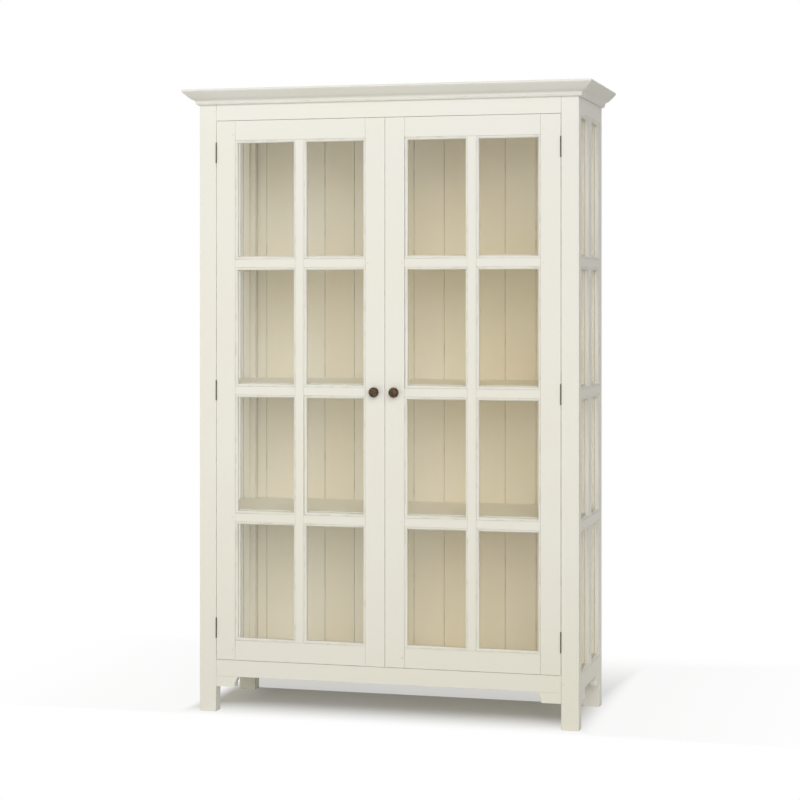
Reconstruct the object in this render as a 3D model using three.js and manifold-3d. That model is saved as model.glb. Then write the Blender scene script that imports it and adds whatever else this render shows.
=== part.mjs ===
// A tall painted bookcase with two glazed doors, glazed sides, a plank back and a moulded crown.
// Millimetres, +Z up, +X to the right, the doors face -Y. The floor is at z = 0.
import * as THREE from "three";
import { mergeVertices } from "three/addons/utils/BufferGeometryUtils.js";
import Module from "manifold-3d";

const wasm = await Module();
wasm.setup();

// Overall sizes
const bodyWidth = 1220;
const bodyDepth = 422;
const totalHeight = 1972;
const postWidth = 55;
const postDepth = 40;
const topBoardThickness = 18;

// Fits: the gap kept at every glued or resting joint, and the overrun of cuts and welds
const joint = 0.3;
const overrun = 2;

// Body rails
const railClearance = 113;
const bottomRailHeight = 52;
const friezeHeight = 50;
const railThickness = 24;
const sideThickness = 22;
const rearThickness = 22;
const tenonLength = 24;
const tenonThickness = 8;
const tenonShoulder = 8;

// Crown moulding, measured out from the body and up from its lower edge
const crownOverhang = 46;
const crownHeight = 47.5;
const crownFillet = 6;
const crownBeadOut = 13;
const crownBeadTop = 13.5;
const crownNeckOut = 10.5;
const crownNeckTop = 6;
const crownSag = 2.5;
const crownCurveSteps = 5;

// Sticking: the moulded edge round every pane, and the slot that holds the glass behind it
const beadWidth = 8.5;
const beadDepth = 8.5;
const beadSteps = 3;
const glassSetback = 14;
const glassThickness = 3;
const glassSlotDepth = 6;

// Doors
const doorThickness = 22;
const doorGap = 1.5;
const meetingGap = 2;
const stileFace = 62;
const doorRailFace = 62;
const muntinFace = 26;
const paneColumns = 2;
const paneRows = 4;

// Shelves and boards
const shelfThickness = 20;
const shelfAboveMuntin = 24.5;
const shelfDoorClearance = 6;
const housingDepth = 6;

// Plank back
const plankThickness = 12;
const plankSetback = 2;
const plankPitch = 102.2;
const plankShift = -10;
const grooveWidth = 3.2;
const grooveDepth = 2;

// Corner brackets under the bottom rails
const bracketHeight = 33;
const bracketTopLength = 79;
const bracketBottomLength = 61;
const bracketThickness = 22;
const frontBracketThickness = 34;
const bracketCoveHeight = 15;
const bracketCoveSteps = 5;
const bracketStep = 4;

// Butt hinges, with their barrels proud of the doors' faces
const hingeHeight = 64;
const hingeInset = 100;
const hingesPerDoor = 3;
const leafThickness = 1.4;
const leafDepth = 19;
const barrelRadius = 2.1;
const pinRadius = 0.9;
const boreRadius = 1.2;
const knuckleShare = 0.4;
const barrelSides = 16;

// Knobs
const knobRadius = 16;
const knobNeckRadius = 7;
const knobRoseRadius = 10;
const knobRoseThickness = 3;
const knobProjection = 30;
const knobRimHeight = 15;
const knobStudRadius = 2.5;
const knobStudLength = 14;
const knobDomeSteps = 6;
const knobSides = 24;

// Magnetic catch behind the top rail, and the strike on each door
const catchWidth = 60;
const catchDepth = 15;
const catchDrop = 24;
const catchRise = 20;
const strikeWidth = 18;
const strikeHeight = 15;
const strikeThickness = 1.5;
const strikeInset = 10;
const strikeDrop = 6;

// Levels and planes worked out from the sizes above
const half = bodyWidth / 2;
const innerHalf = half - postWidth;
const front = crownOverhang / 2 - bodyDepth / 2;
const back = front + bodyDepth;
const crownBottom = totalHeight - crownHeight;
const postTop = totalHeight - topBoardThickness;
const openingBottom = railClearance + bottomRailHeight;
const openingTop = crownBottom - friezeHeight;
const bracketBottom = railClearance - bracketHeight;
const doorBottom = openingBottom + doorGap;
const doorTop = openingTop - doorGap;
const glassSlot = glassThickness + 2 * joint;
const rearRailFront = back - rearThickness;
const plankFront = rearRailFront + plankSetback;
const frontPostBack = front + postDepth;
const rearPostFront = back - postDepth;
const sideInner = half - sideThickness;

const paneSpan = doorTop - doorBottom - 2 * (doorRailFace + beadWidth);
const muntinWidth = muntinFace + 2 * beadWidth;
const paneHeight = (paneSpan - (paneRows - 1) * muntinWidth) / paneRows;
const firstMuntin = doorBottom + doorRailFace + beadWidth + paneHeight + muntinWidth / 2;
const muntinHeights = Array.from(
  { length: paneRows - 1 },
  (_, i) => firstMuntin + i * (paneHeight + muntinWidth),
);
const shelfTops = muntinHeights.map((z) => z + shelfAboveMuntin);

const doorMiddle = (doorBottom + doorTop) / 2;
const hingeSpan = doorTop - doorBottom - 2 * hingeInset;
const hingeHeights = Array.from(
  { length: hingesPerDoor },
  (_, i) => doorBottom + hingeInset + (i * hingeSpan) / (hingesPerDoor - 1),
);
const pinAcross = innerHalf - doorGap / 2;
const pinForward = front - barrelRadius - joint;

// Materials, one per slot
const paint = { color: 0xebe8de, roughness: 0.45, metalness: 0 };
const bronze = { color: 0x4a3a2c, roughness: 0.45, metalness: 0.8 };
const steel = { color: 0xb9b9b6, roughness: 0.35, metalness: 0.9 };
const paneGlass = {
  color: 0xe6efe9,
  roughness: 0.03,
  metalness: 0,
  transparent: true,
  opacity: 0.25,
};
const catchBody = { color: 0xe4ddca, roughness: 0.5, metalness: 0 };

const bookcase = new THREE.Group();

// A closed geometry as a manifold-3d solid.
function toSolid(geometry) {
  const bare = geometry.clone();
  bare.deleteAttribute("normal");
  bare.deleteAttribute("uv");
  const merged = mergeVertices(bare);
  return new wasm.Manifold(
    new wasm.Mesh({
      numProp: 3,
      vertProperties: merged.attributes.position.array,
      triVerts: new Uint32Array(merged.index.array),
    }),
  );
}

// A solid's triangles as a geometry that three.js can draw.
function toGeometry(solid) {
  const mesh = solid.getMesh();
  const geometry = new THREE.BufferGeometry();
  geometry.setAttribute("position", new THREE.BufferAttribute(mesh.vertProperties, 3));
  geometry.setIndex(new THREE.BufferAttribute(mesh.triVerts, 1));
  const flat = geometry.toNonIndexed();
  flat.computeVertexNormals();
  return flat;
}

function joined(...solids) {
  return solids.reduce((whole, next) => whole.add(next));
}

function cut(solid, cutters) {
  return cutters.reduce((whole, next) => whole.subtract(next), solid);
}

// A block between two values on each axis, given in either order.
function block([x0, x1], [y0, y1], [z0, z1]) {
  const size = [Math.abs(x1 - x0), Math.abs(y1 - y0), Math.abs(z1 - z0)];
  const box = new THREE.BoxGeometry(...size);
  box.translate((x0 + x1) / 2, (y0 + y1) / 2, (z0 + z1) / 2);
  return toSolid(box);
}

// An outline pushed along one axis. Its pairs are (y, z) along x, (z, x) along y and (x, y) along z.
function prism(outline, axis, from, to) {
  const shape = new THREE.Shape(outline.map(([a, b]) => new THREE.Vector2(a, b)));
  const depth = Math.abs(to - from);
  const geometry = new THREE.ExtrudeGeometry(shape, { depth, bevelEnabled: false });
  geometry.translate(0, 0, Math.min(from, to));
  const [a, b, along] = { x: [1, 2, 0], y: [2, 0, 1], z: [0, 1, 2] }[axis];
  const basis = [0, 1, 2].map((k) => new THREE.Vector3().setComponent(k, 1));
  geometry.applyMatrix4(new THREE.Matrix4().makeBasis(basis[a], basis[b], basis[along]));
  return toSolid(geometry);
}

// An upright cylinder on (x, y) between two heights.
function rod(radius, x, y, from, to) {
  const cylinder = new THREE.CylinderGeometry(radius, radius, to - from, barrelSides);
  cylinder.rotateX(Math.PI / 2);
  cylinder.translate(x, y, (from + to) / 2);
  return toSolid(cylinder);
}

function addPiece(name, solid, look) {
  const mesh = new THREE.Mesh(toGeometry(solid), new THREE.MeshStandardMaterial(look));
  mesh.name = name;
  bookcase.add(mesh);
}

// A glazed plane: at() places a point by its run along the plane and its depth behind the face,
// and cross() does the same for a section that runs along the plane.
const frontPlane = {
  axis: "x",
  at: (run, depth) => [run, front + depth],
  cross: (depth, z) => [front + depth, z],
};

const rearPlane = {
  axis: "x",
  at: (run, depth) => [run, back - depth],
  cross: (depth, z) => [back - depth, z],
};

function sidePlane(side) {
  return {
    axis: "y",
    at: (run, depth) => [side * (half - depth), run],
    cross: (depth, z) => [z, side * (half - depth)],
  };
}

function upright(plane, section, run, direction, from, to) {
  const outline = section.map(([across, depth]) => plane.at(run + direction * across, depth));
  return prism(outline, "z", from, to);
}

function crossbar(plane, section, z, direction, from, to) {
  const outline = section.map(([across, depth]) => plane.cross(depth, z + direction * across));
  return prism(outline, plane.axis, from, to);
}

// The moulded edge of a member, from its face edge out and back to the glass, as (across, depth) pairs.
function beadCurve(edge) {
  const points = [];
  for (let i = 0; i <= beadSteps; i++) {
    const angle = (i / beadSteps) * (Math.PI / 2);
    points.push([edge + beadWidth * Math.sin(angle), beadDepth * (1 - Math.cos(angle))]);
  }
  points.push([edge + beadWidth, glassSetback]);
  return points;
}

// The moulded edge by itself, with a root inside its member.
const beadSection = [[-overrun, 0], ...beadCurve(0), [-overrun, glassSetback]];

// The same, grown by the joint: it trims what meets the moulded edge.
const beadTrim = [
  [-overrun, -joint],
  [joint, -joint],
  ...beadCurve(joint),
  [joint + beadWidth, glassSetback + joint],
  [-overrun, glassSetback + joint],
];

// A rail in section: a plain face, the moulded edge, and the slot for the glass.
function railSection(face, thickness) {
  const slotFloor = face - glassSlotDepth;
  const slotBack = glassSetback + glassSlot;
  return [
    [0, 0],
    ...beadCurve(face),
    [slotFloor, glassSetback],
    [slotFloor, slotBack],
    [face, slotBack],
    [face, thickness],
    [0, thickness],
  ];
}

// A glazing bar in section: moulded on both edges.
function muntinSection() {
  const right = beadCurve(muntinFace / 2);
  const left = right.map(([across, depth]) => [-across, depth]).reverse();
  return [...right, ...left];
}

// A stile or post beside a window gets the moulded edge and a slot that holds the glass.
function windowEdge(plane, edge, direction, low, high) {
  return upright(plane, beadSection, edge, direction, low + joint, high - joint);
}

function windowSlot(plane, edge, direction, low, high) {
  const slot = [
    [-glassSlotDepth, glassSetback],
    [overrun, glassSetback],
    [overrun, glassSetback + glassSlot],
    [-glassSlotDepth, glassSetback + glassSlot],
  ];
  return upright(plane, slot, edge, direction, low - glassSlotDepth, high + glassSlotDepth);
}

// A rail's tenon, or the mortise for it when it is grown by the joint.
function tenon(plane, run, direction, [low, high], thickness, growth) {
  const reach = tenonThickness / 2 + growth;
  const length = tenonLength + growth;
  const section = [
    [-overrun, thickness / 2 - reach],
    [length, thickness / 2 - reach],
    [length, thickness / 2 + reach],
    [-overrun, thickness / 2 + reach],
  ];
  const from = low + tenonShoulder - growth;
  const to = high - tenonShoulder + growth;
  return upright(plane, section, run, direction, from, to);
}

// A rail with its two tenons, trimmed to the moulded edges of the uprights that it meets.
function glazedRail(plane, outer, direction, face, start, finish, thickness) {
  const section = railSection(face, thickness);
  const body = crossbar(plane, section, outer, direction, start + joint, finish - joint);
  const span = [outer, outer + direction * face].sort((a, b) => a - b);
  const whole = joined(
    body,
    tenon(plane, start + joint, -1, span, thickness, 0),
    tenon(plane, finish - joint, 1, span, thickness, 0),
  );
  const [low, high] = [span[0] - beadWidth - overrun, span[1] + beadWidth + overrun];
  const trimFrom = direction > 0 ? span[1] : low;
  const trimTo = direction > 0 ? high : span[0];
  return cut(whole, [
    upright(plane, beadTrim, start, 1, trimFrom, trimTo),
    upright(plane, beadTrim, finish, -1, trimFrom, trimTo),
  ]);
}

// The glazing of one window: bars joined where they cross and trimmed to the moulded edge round them,
// and one sheet of glass behind them in the slots.
function addGlazing(name, plane, [start, finish], [low, high]) {
  const span = finish - start;
  const runs = Array.from(
    { length: paneColumns - 1 },
    (_, i) => start + ((i + 1) * span) / paneColumns,
  );
  const bars = [
    ...runs.map((run) => upright(plane, muntinSection(), run, 1, low, high)),
    ...muntinHeights.map((z) => crossbar(plane, muntinSection(), z, 1, start, finish)),
  ];
  const surround = [
    upright(plane, beadTrim, start, 1, low, high),
    upright(plane, beadTrim, finish, -1, low, high),
    crossbar(plane, beadTrim, low, 1, start, finish),
    crossbar(plane, beadTrim, high, -1, start, finish),
  ];
  addPiece(`${name}_muntins`, cut(joined(...bars), surround), paint);

  const tuck = glassSlotDepth - joint;
  const nearFace = glassSetback + joint;
  const farFace = nearFace + glassThickness;
  const sheet = [
    [start - tuck, nearFace],
    [finish + tuck, nearFace],
    [finish + tuck, farFace],
    [start - tuck, farFace],
  ];
  addPiece(`${name}_glass`, upright(plane, sheet, 0, 1, low - tuck, high + tuck), paneGlass);
}

// Hinges. Both leaves stand in pockets, and the barrel lies in front of the face between door and post.
const postEdge = { across: innerHalf, direction: 1 };
const doorEdge = { across: innerHalf - doorGap, direction: -1 };

function hingePocket(side, edge, middle) {
  const floor = edge.across + edge.direction * (leafThickness + joint);
  const reach = hingeHeight / 2 + joint;
  return block(
    [side * (edge.across - edge.direction * doorGap), side * floor],
    [front - overrun, front + leafDepth + joint],
    [middle - reach, middle + reach],
  );
}

function hingeLeaf(side, edge, middle) {
  return block(
    [side * edge.across, side * (edge.across + edge.direction * leafThickness)],
    [pinForward, front + leafDepth],
    [middle - hingeHeight / 2, middle + hingeHeight / 2],
  );
}

function barrel(side, radius, from, to) {
  return rod(radius, side * pinAcross, pinForward, from, to);
}

// The space in front of the wood that one leaf leaves free for the other leaf's knuckles.
function knuckleSpace(side, from, to) {
  const reach = barrelRadius + joint;
  return block(
    [side * (pinAcross - reach), side * (pinAcross + reach)],
    [pinForward - reach, front],
    [from, to],
  );
}

function knuckleSpan(middle) {
  const reach = (hingeHeight * knuckleShare) / 2;
  return [middle - reach, middle + reach];
}

function postHinge(side, middle) {
  const [low, high] = knuckleSpan(middle);
  const bottom = middle - hingeHeight / 2;
  const top = middle + hingeHeight / 2;
  return joined(
    cut(hingeLeaf(side, postEdge, middle), [knuckleSpace(side, low, high)]),
    barrel(side, barrelRadius, bottom, low),
    barrel(side, barrelRadius, high, top),
    barrel(side, pinRadius, bottom + overrun, top - overrun),
  );
}

function doorHinge(side, middle) {
  const [low, high] = knuckleSpan(middle);
  const bottom = middle - hingeHeight / 2 - overrun;
  const top = middle + hingeHeight / 2 + overrun;
  const leaf = cut(hingeLeaf(side, doorEdge, middle), [
    knuckleSpace(side, bottom, low + joint),
    knuckleSpace(side, high - joint, top),
  ]);
  const knuckle = barrel(side, barrelRadius, low + joint, high - joint);
  return cut(joined(leaf, knuckle), [barrel(side, boreRadius, bottom, top)]);
}

// Posts: each is a leg from the floor to the top board. The edge beside the side window is
// moulded and slotted, and the inner faces are housed for the boards, the planks and the tenons.
const sideOpening = [openingBottom, openingTop];
const sideWindow = [frontPostBack, rearPostFront];
const lowRail = [railClearance, openingBottom];
const highRail = [openingTop, postTop];
const shelfFront = front + doorThickness + shelfDoorClearance;
const bottomBoardFront = front + railThickness + joint;
const boardBack = rearRailFront - joint;

function boardHousing(side, [from, to], top) {
  return block(
    [side * (innerHalf - overrun), side * (innerHalf + housingDepth)],
    [from, to],
    [top - shelfThickness - joint, top + joint],
  );
}

function frontPost(side) {
  const plane = sidePlane(side);
  const leg = joined(
    block([side * innerHalf, side * half], [front, frontPostBack], [0, postTop]),
    windowEdge(plane, frontPostBack, 1, ...sideOpening),
  );
  const end = frontPostBack + overrun;
  return cut(leg, [
    windowSlot(plane, frontPostBack, 1, ...sideOpening),
    boardHousing(side, [bottomBoardFront - joint, end], openingBottom),
    ...shelfTops.map((top) => boardHousing(side, [shelfFront - joint, end], top)),
    ...hingeHeights.map((z) => hingePocket(side, postEdge, z)),
    ...[lowRail, highRail].flatMap((span) => [
      tenon(plane, frontPostBack, -1, span, sideThickness, joint),
      tenon(frontPlane, side * innerHalf, side, span, railThickness, joint),
    ]),
  ]);
}

function rearPost(side) {
  const plane = sidePlane(side);
  const leg = joined(
    block([side * innerHalf, side * half], [rearPostFront, back], [0, postTop]),
    windowEdge(plane, rearPostFront, -1, ...sideOpening),
  );
  const start = rearPostFront - overrun;
  const plankHousing = block(
    [side * (innerHalf - overrun), side * (innerHalf + housingDepth)],
    [plankFront - joint, plankFront + plankThickness + joint],
    [openingBottom - housingDepth, openingTop + housingDepth],
  );
  return cut(leg, [
    windowSlot(plane, rearPostFront, -1, ...sideOpening),
    plankHousing,
    ...[openingBottom, ...shelfTops].map((top) => boardHousing(side, [start, rearRailFront], top)),
    ...[lowRail, highRail].flatMap((span) => [
      tenon(plane, rearPostFront, 1, span, sideThickness, joint),
      tenon(rearPlane, side * innerHalf, side, span, rearThickness, joint),
    ]),
  ]);
}

// Rails across the front and back, between the posts.
function crossRail(plane, span, thickness) {
  const run = innerHalf - joint;
  const section = [
    [0, 0],
    [0, thickness],
    [span[1] - span[0], thickness],
    [span[1] - span[0], 0],
  ];
  return joined(
    crossbar(plane, section, span[0], 1, -run, run),
    tenon(plane, -run, -1, span, thickness, 0),
    tenon(plane, run, 1, span, thickness, 0),
  );
}

// The groove in a rear rail that holds the end of the planks. Direction points to the planks.
function plankGroove(edge, direction) {
  return block(
    [-innerHalf, innerHalf],
    [plankFront - joint, plankFront + plankThickness + joint],
    [edge + direction * overrun, edge - direction * housingDepth],
  );
}

// The back: planks side by side, shown by the V groove between each pair.
function plankBack() {
  const reach = innerHalf + housingDepth - joint;
  const outline = [[-reach, plankFront]];
  const first = Math.ceil((-innerHalf - plankShift) / plankPitch);
  const last = Math.floor((innerHalf - plankShift) / plankPitch);
  for (let i = first; i <= last; i++) {
    const x = plankShift + i * plankPitch;
    outline.push([x - grooveWidth / 2, plankFront]);
    outline.push([x, plankFront + grooveDepth]);
    outline.push([x + grooveWidth / 2, plankFront]);
  }
  outline.push([reach, plankFront]);
  outline.push([reach, plankFront + plankThickness]);
  outline.push([-reach, plankFront + plankThickness]);
  const tuck = housingDepth - joint;
  return prism(outline, "z", openingBottom - tuck, openingTop + tuck);
}

// Shelves and the bottom board are notched round the posts and housed in their inner faces.
function board(frontEdge, top) {
  const reach = innerHalf + housingDepth - joint;
  const wide = sideInner - joint;
  const notchFront = frontPostBack + joint;
  const notchBack = rearPostFront - joint;
  const rightEdge = [
    [reach, frontEdge],
    [reach, notchFront],
    [wide, notchFront],
    [wide, notchBack],
    [reach, notchBack],
    [reach, boardBack],
  ];
  const leftEdge = rightEdge.map(([x, y]) => [-x, y]).reverse();
  return prism([...rightEdge, ...leftEdge], "z", top - shelfThickness, top);
}

// Crown moulding in section, as (out, up) pairs from the body's face at the crown's lower edge.
function crownSection() {
  const neck = new THREE.QuadraticBezierCurve(
    new THREE.Vector2(joint, 0),
    new THREE.Vector2(crownNeckOut, 0),
    new THREE.Vector2(crownNeckOut, crownNeckTop),
  );
  const low = new THREE.Vector2(crownBeadOut, crownBeadTop);
  const high = new THREE.Vector2(crownOverhang, crownHeight - crownFillet);
  const chord = high.clone().sub(low);
  const outward = new THREE.Vector2(chord.y, -chord.x).setLength(2 * crownSag);
  const control = low.clone().add(high).divideScalar(2).add(outward);
  const sweep = new THREE.QuadraticBezierCurve(low, control, high);
  return [
    ...neck.getPoints(crownCurveSteps),
    ...sweep.getPoints(crownCurveSteps),
    new THREE.Vector2(crownOverhang, crownHeight),
    new THREE.Vector2(joint, crownHeight),
  ].map((point) => [point.x, point.y]);
}

// The wedges that trim the crown to its mitres, on either side of the line from the body's corner.
function mitreWedge(corner, tip, third) {
  return prism([corner, tip, third], "z", crownBottom - overrun, totalHeight + overrun);
}

function frontCrown() {
  const outline = crownSection().map(([out, up]) => [front - out, crownBottom + up]);
  const reach = crownOverhang + overrun;
  const strip = prism(outline, "x", -half - reach, half + reach);
  const wedges = [-1, 1].map((side) => {
    const corner = [side * (half - joint / 2), front];
    const tip = [side * (half + 2 * reach - joint / 2), front - 2 * reach];
    return mitreWedge(corner, tip, [tip[0], front]);
  });
  return cut(strip, wedges);
}

function sideCrown(side) {
  const outline = crownSection().map(([out, up]) => [crownBottom + up, side * (half + out)]);
  const reach = crownOverhang + overrun;
  const strip = prism(outline, "y", front - reach, back);
  const corner = [side * (half + joint / 2), front];
  const tip = [side * (half + 2 * reach + joint / 2), front - 2 * reach];
  return cut(strip, [
    mitreWedge(corner, tip, [side * half, tip[1]]),
    block([side * half, side * (half + joint / 2)], [front, tip[1]], [crownBottom, totalHeight]),
  ]);
}

// A bracket in section, as (along the rail, up) pairs from its lower corner at the post.
function bracketSection() {
  const coveTop = bracketHeight - joint;
  const coveLow = coveTop - bracketCoveHeight;
  const waist = bracketBottomLength + bracketStep;
  const cove = new THREE.QuadraticBezierCurve(
    new THREE.Vector2(waist, coveLow),
    new THREE.Vector2(waist, coveTop),
    new THREE.Vector2(bracketTopLength, coveTop),
  );
  return [
    [joint, 0],
    [bracketBottomLength, 0],
    [bracketBottomLength, coveLow - bracketStep],
    ...cove.getPoints(bracketCoveSteps).map((point) => [point.x, point.y]),
    [joint, coveTop],
  ];
}

function frontBracket(side) {
  const outline = bracketSection().map(([along, up]) => [
    bracketBottom + up,
    side * (innerHalf - along),
  ]);
  return prism(outline, "y", front, front + frontBracketThickness);
}

function sideBracket(side, edge, direction) {
  const outline = bracketSection().map(([along, up]) => [
    edge + direction * along,
    bracketBottom + up,
  ]);
  return prism(outline, "x", side * half, side * (half - bracketThickness));
}

// A door knob: rose, neck and domed head on a stud that screws into the stile.
function knobProfile() {
  const points = [
    [0, -knobStudLength],
    [knobStudRadius, -knobStudLength],
    [knobStudRadius, joint],
    [knobRoseRadius, joint],
    [knobRoseRadius, knobRoseThickness],
    [knobNeckRadius, knobRoseThickness],
    [knobNeckRadius, knobRimHeight - knobRoseThickness],
  ];
  for (let i = 0; i < knobDomeSteps; i++) {
    const angle = (i / knobDomeSteps) * (Math.PI / 2);
    const rise = (knobProjection - knobRimHeight) * Math.sin(angle);
    points.push([knobRadius * Math.cos(angle), knobRimHeight + rise]);
  }
  points.push([0, knobProjection]);
  return points.map(([radius, out]) => new THREE.Vector2(radius, out));
}

function knobAt(x, z) {
  const lathe = new THREE.LatheGeometry(knobProfile(), knobSides);
  lathe.rotateX(Math.PI);
  lathe.translate(x, front, z);
  return toSolid(lathe);
}

function studHole(x, z) {
  const radius = knobStudRadius + joint;
  const length = knobStudLength + joint + overrun;
  const cylinder = new THREE.CylinderGeometry(radius, radius, length, knobSides);
  cylinder.translate(x, front - overrun + length / 2, z);
  return toSolid(cylinder);
}

// One door: two stiles, two tenoned rails, the glazing, and the fittings that move with it.
function addDoor(side, name) {
  const low = doorBottom + doorRailFace;
  const high = doorTop - doorRailFace;
  const railSpans = [
    [doorBottom, low],
    [high, doorTop],
  ];
  const depths = [front, front + doorThickness];
  const stile = (outer, direction, cutters) => {
    const edge = outer + direction * stileFace;
    const whole = joined(
      block([outer, edge], depths, [doorBottom, doorTop]),
      windowEdge(frontPlane, edge, direction, low, high),
    );
    const mortises = railSpans.map((span) =>
      tenon(frontPlane, edge, -direction, span, doorThickness, joint),
    );
    return cut(whole, [
      windowSlot(frontPlane, edge, direction, low, high),
      ...mortises,
      ...cutters,
    ]);
  };

  const hingeSide = side * doorEdge.across;
  const meetingSide = (side * meetingGap) / 2;
  const knobX = meetingSide + (side * stileFace) / 2;
  const pockets = hingeHeights.map((z) => hingePocket(side, doorEdge, z));
  addPiece(`${name}_door_hinge_stile`, stile(hingeSide, -side, pockets), paint);
  const hole = studHole(knobX, doorMiddle);
  addPiece(`${name}_door_meeting_stile`, stile(meetingSide, side, [hole]), paint);

  const edges = [hingeSide - side * stileFace, meetingSide + side * stileFace];
  const [start, finish] = edges.sort((a, b) => a - b);
  const rail = (outer, direction) =>
    glazedRail(frontPlane, outer, direction, doorRailFace, start, finish, doorThickness);
  addPiece(`${name}_door_bottom_rail`, rail(doorBottom, 1), paint);
  addPiece(`${name}_door_top_rail`, rail(doorTop, -1), paint);
  addGlazing(`${name}_door`, frontPlane, [start, finish], [low, high]);
  addPiece(`${name}_door_knob`, knobAt(knobX, doorMiddle), bronze);

  const strikeTop = doorTop - strikeDrop;
  const strikeBack = depths[1] + joint;
  const strike = block(
    [side * strikeInset, side * (strikeInset + strikeWidth)],
    [strikeBack, strikeBack + strikeThickness],
    [strikeTop - strikeHeight, strikeTop],
  );
  addPiece(`${name}_door_strike`, strike, steel);
  hingeHeights.forEach((z, i) => {
    addPiece(`${name}_door_hinge_leaf_${i + 1}`, doorHinge(side, z), bronze);
    addPiece(`${name}_post_hinge_leaf_${i + 1}`, postHinge(side, z), bronze);
  });
}

// Both sides: posts, rails, glazing, crown and brackets.
for (const [side, name] of [
  [-1, "left"],
  [1, "right"],
]) {
  const plane = sidePlane(side);
  const [start, finish] = sideWindow;
  addPiece(`${name}_front_post`, frontPost(side), paint);
  addPiece(`${name}_rear_post`, rearPost(side), paint);
  const rail = (outer, direction, face) =>
    glazedRail(plane, outer, direction, face, start, finish, sideThickness);
  addPiece(`${name}_side_bottom_rail`, rail(railClearance, 1, bottomRailHeight), paint);
  addPiece(`${name}_side_top_rail`, rail(postTop, -1, postTop - openingTop), paint);
  addGlazing(`${name}_side`, plane, sideWindow, sideOpening);
  addPiece(`${name}_crown`, sideCrown(side), paint);
  addPiece(`${name}_front_bracket`, frontBracket(side), paint);
  addPiece(`${name}_side_bracket_front`, sideBracket(side, frontPostBack, 1), paint);
  addPiece(`${name}_side_bracket_rear`, sideBracket(side, rearPostFront, -1), paint);
  addDoor(side, name);
}

// Front, back, top and inside
addPiece("front_crown", frontCrown(), paint);
addPiece("front_bottom_rail", crossRail(frontPlane, lowRail, railThickness), paint);
addPiece("front_top_rail", crossRail(frontPlane, highRail, railThickness), paint);
const rearBottomRail = crossRail(rearPlane, lowRail, rearThickness);
addPiece("rear_bottom_rail", cut(rearBottomRail, [plankGroove(openingBottom, 1)]), paint);
const rearTopRail = crossRail(rearPlane, highRail, rearThickness);
addPiece("rear_top_rail", cut(rearTopRail, [plankGroove(openingTop, -1)]), paint);
addPiece("back_planks", plankBack(), paint);
addPiece("bottom_board", board(bottomBoardFront, openingBottom), paint);
shelfTops.forEach((top, i) => addPiece(`shelf_${i + 1}`, board(shelfFront, top), paint));
const topBoard = block([-half, half], [front, back], [postTop + joint, totalHeight]);
addPiece("top_board", topBoard, paint);
const catchFront = front + railThickness + joint;
const magnetCatch = block(
  [-catchWidth / 2, catchWidth / 2],
  [catchFront, catchFront + catchDepth],
  [openingTop - catchDrop, openingTop + catchRise],
);
addPiece("magnet_catch", magnetCatch, catchBody);

export default bookcase;
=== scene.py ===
# A tall painted bookcase with two glazed doors and glazed sides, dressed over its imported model.
# Metres, +Z up, the doors face -Y, the floor is at z = 0.
from math import cos, pi, radians, sin

import bmesh
import bpy
from mathutils import Matrix, Vector


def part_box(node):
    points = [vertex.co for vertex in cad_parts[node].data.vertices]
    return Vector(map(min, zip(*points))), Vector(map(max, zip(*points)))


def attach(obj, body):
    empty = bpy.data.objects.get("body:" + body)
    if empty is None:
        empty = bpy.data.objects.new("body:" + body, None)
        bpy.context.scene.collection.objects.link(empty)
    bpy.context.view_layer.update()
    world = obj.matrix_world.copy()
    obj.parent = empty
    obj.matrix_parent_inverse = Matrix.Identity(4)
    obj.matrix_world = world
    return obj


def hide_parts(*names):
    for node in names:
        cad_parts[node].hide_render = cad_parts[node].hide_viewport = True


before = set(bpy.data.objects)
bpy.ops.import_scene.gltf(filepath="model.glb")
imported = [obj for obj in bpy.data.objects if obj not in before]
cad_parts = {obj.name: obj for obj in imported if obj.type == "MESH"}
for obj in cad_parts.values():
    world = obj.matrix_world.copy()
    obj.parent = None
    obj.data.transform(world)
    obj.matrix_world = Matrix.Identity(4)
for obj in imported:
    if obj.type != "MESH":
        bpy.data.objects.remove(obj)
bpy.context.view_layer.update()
print("frame: %d nodes" % len(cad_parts))


# Camera, as the photograph was taken: level, from the right, with its picture shifted down
camera = {
    "place": (1.6907, -6.3659, 1.321),
    "turn": 14.884,
    "lens": 92.8,
    "sensor": 36,
    "shiftDown": 0.1309,
}


def addCamera():
    data = bpy.data.cameras.new("camera")
    data.lens = camera["lens"]
    data.sensor_width = camera["sensor"]
    data.shift_y = -camera["shiftDown"]
    eye = bpy.data.objects.new("camera", data)
    eye.location = camera["place"]
    eye.rotation_euler = (pi / 2, 0, radians(camera["turn"]))
    bpy.context.collection.objects.link(eye)
    bpy.context.scene.camera = eye


addCamera()
print("camera set")


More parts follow.
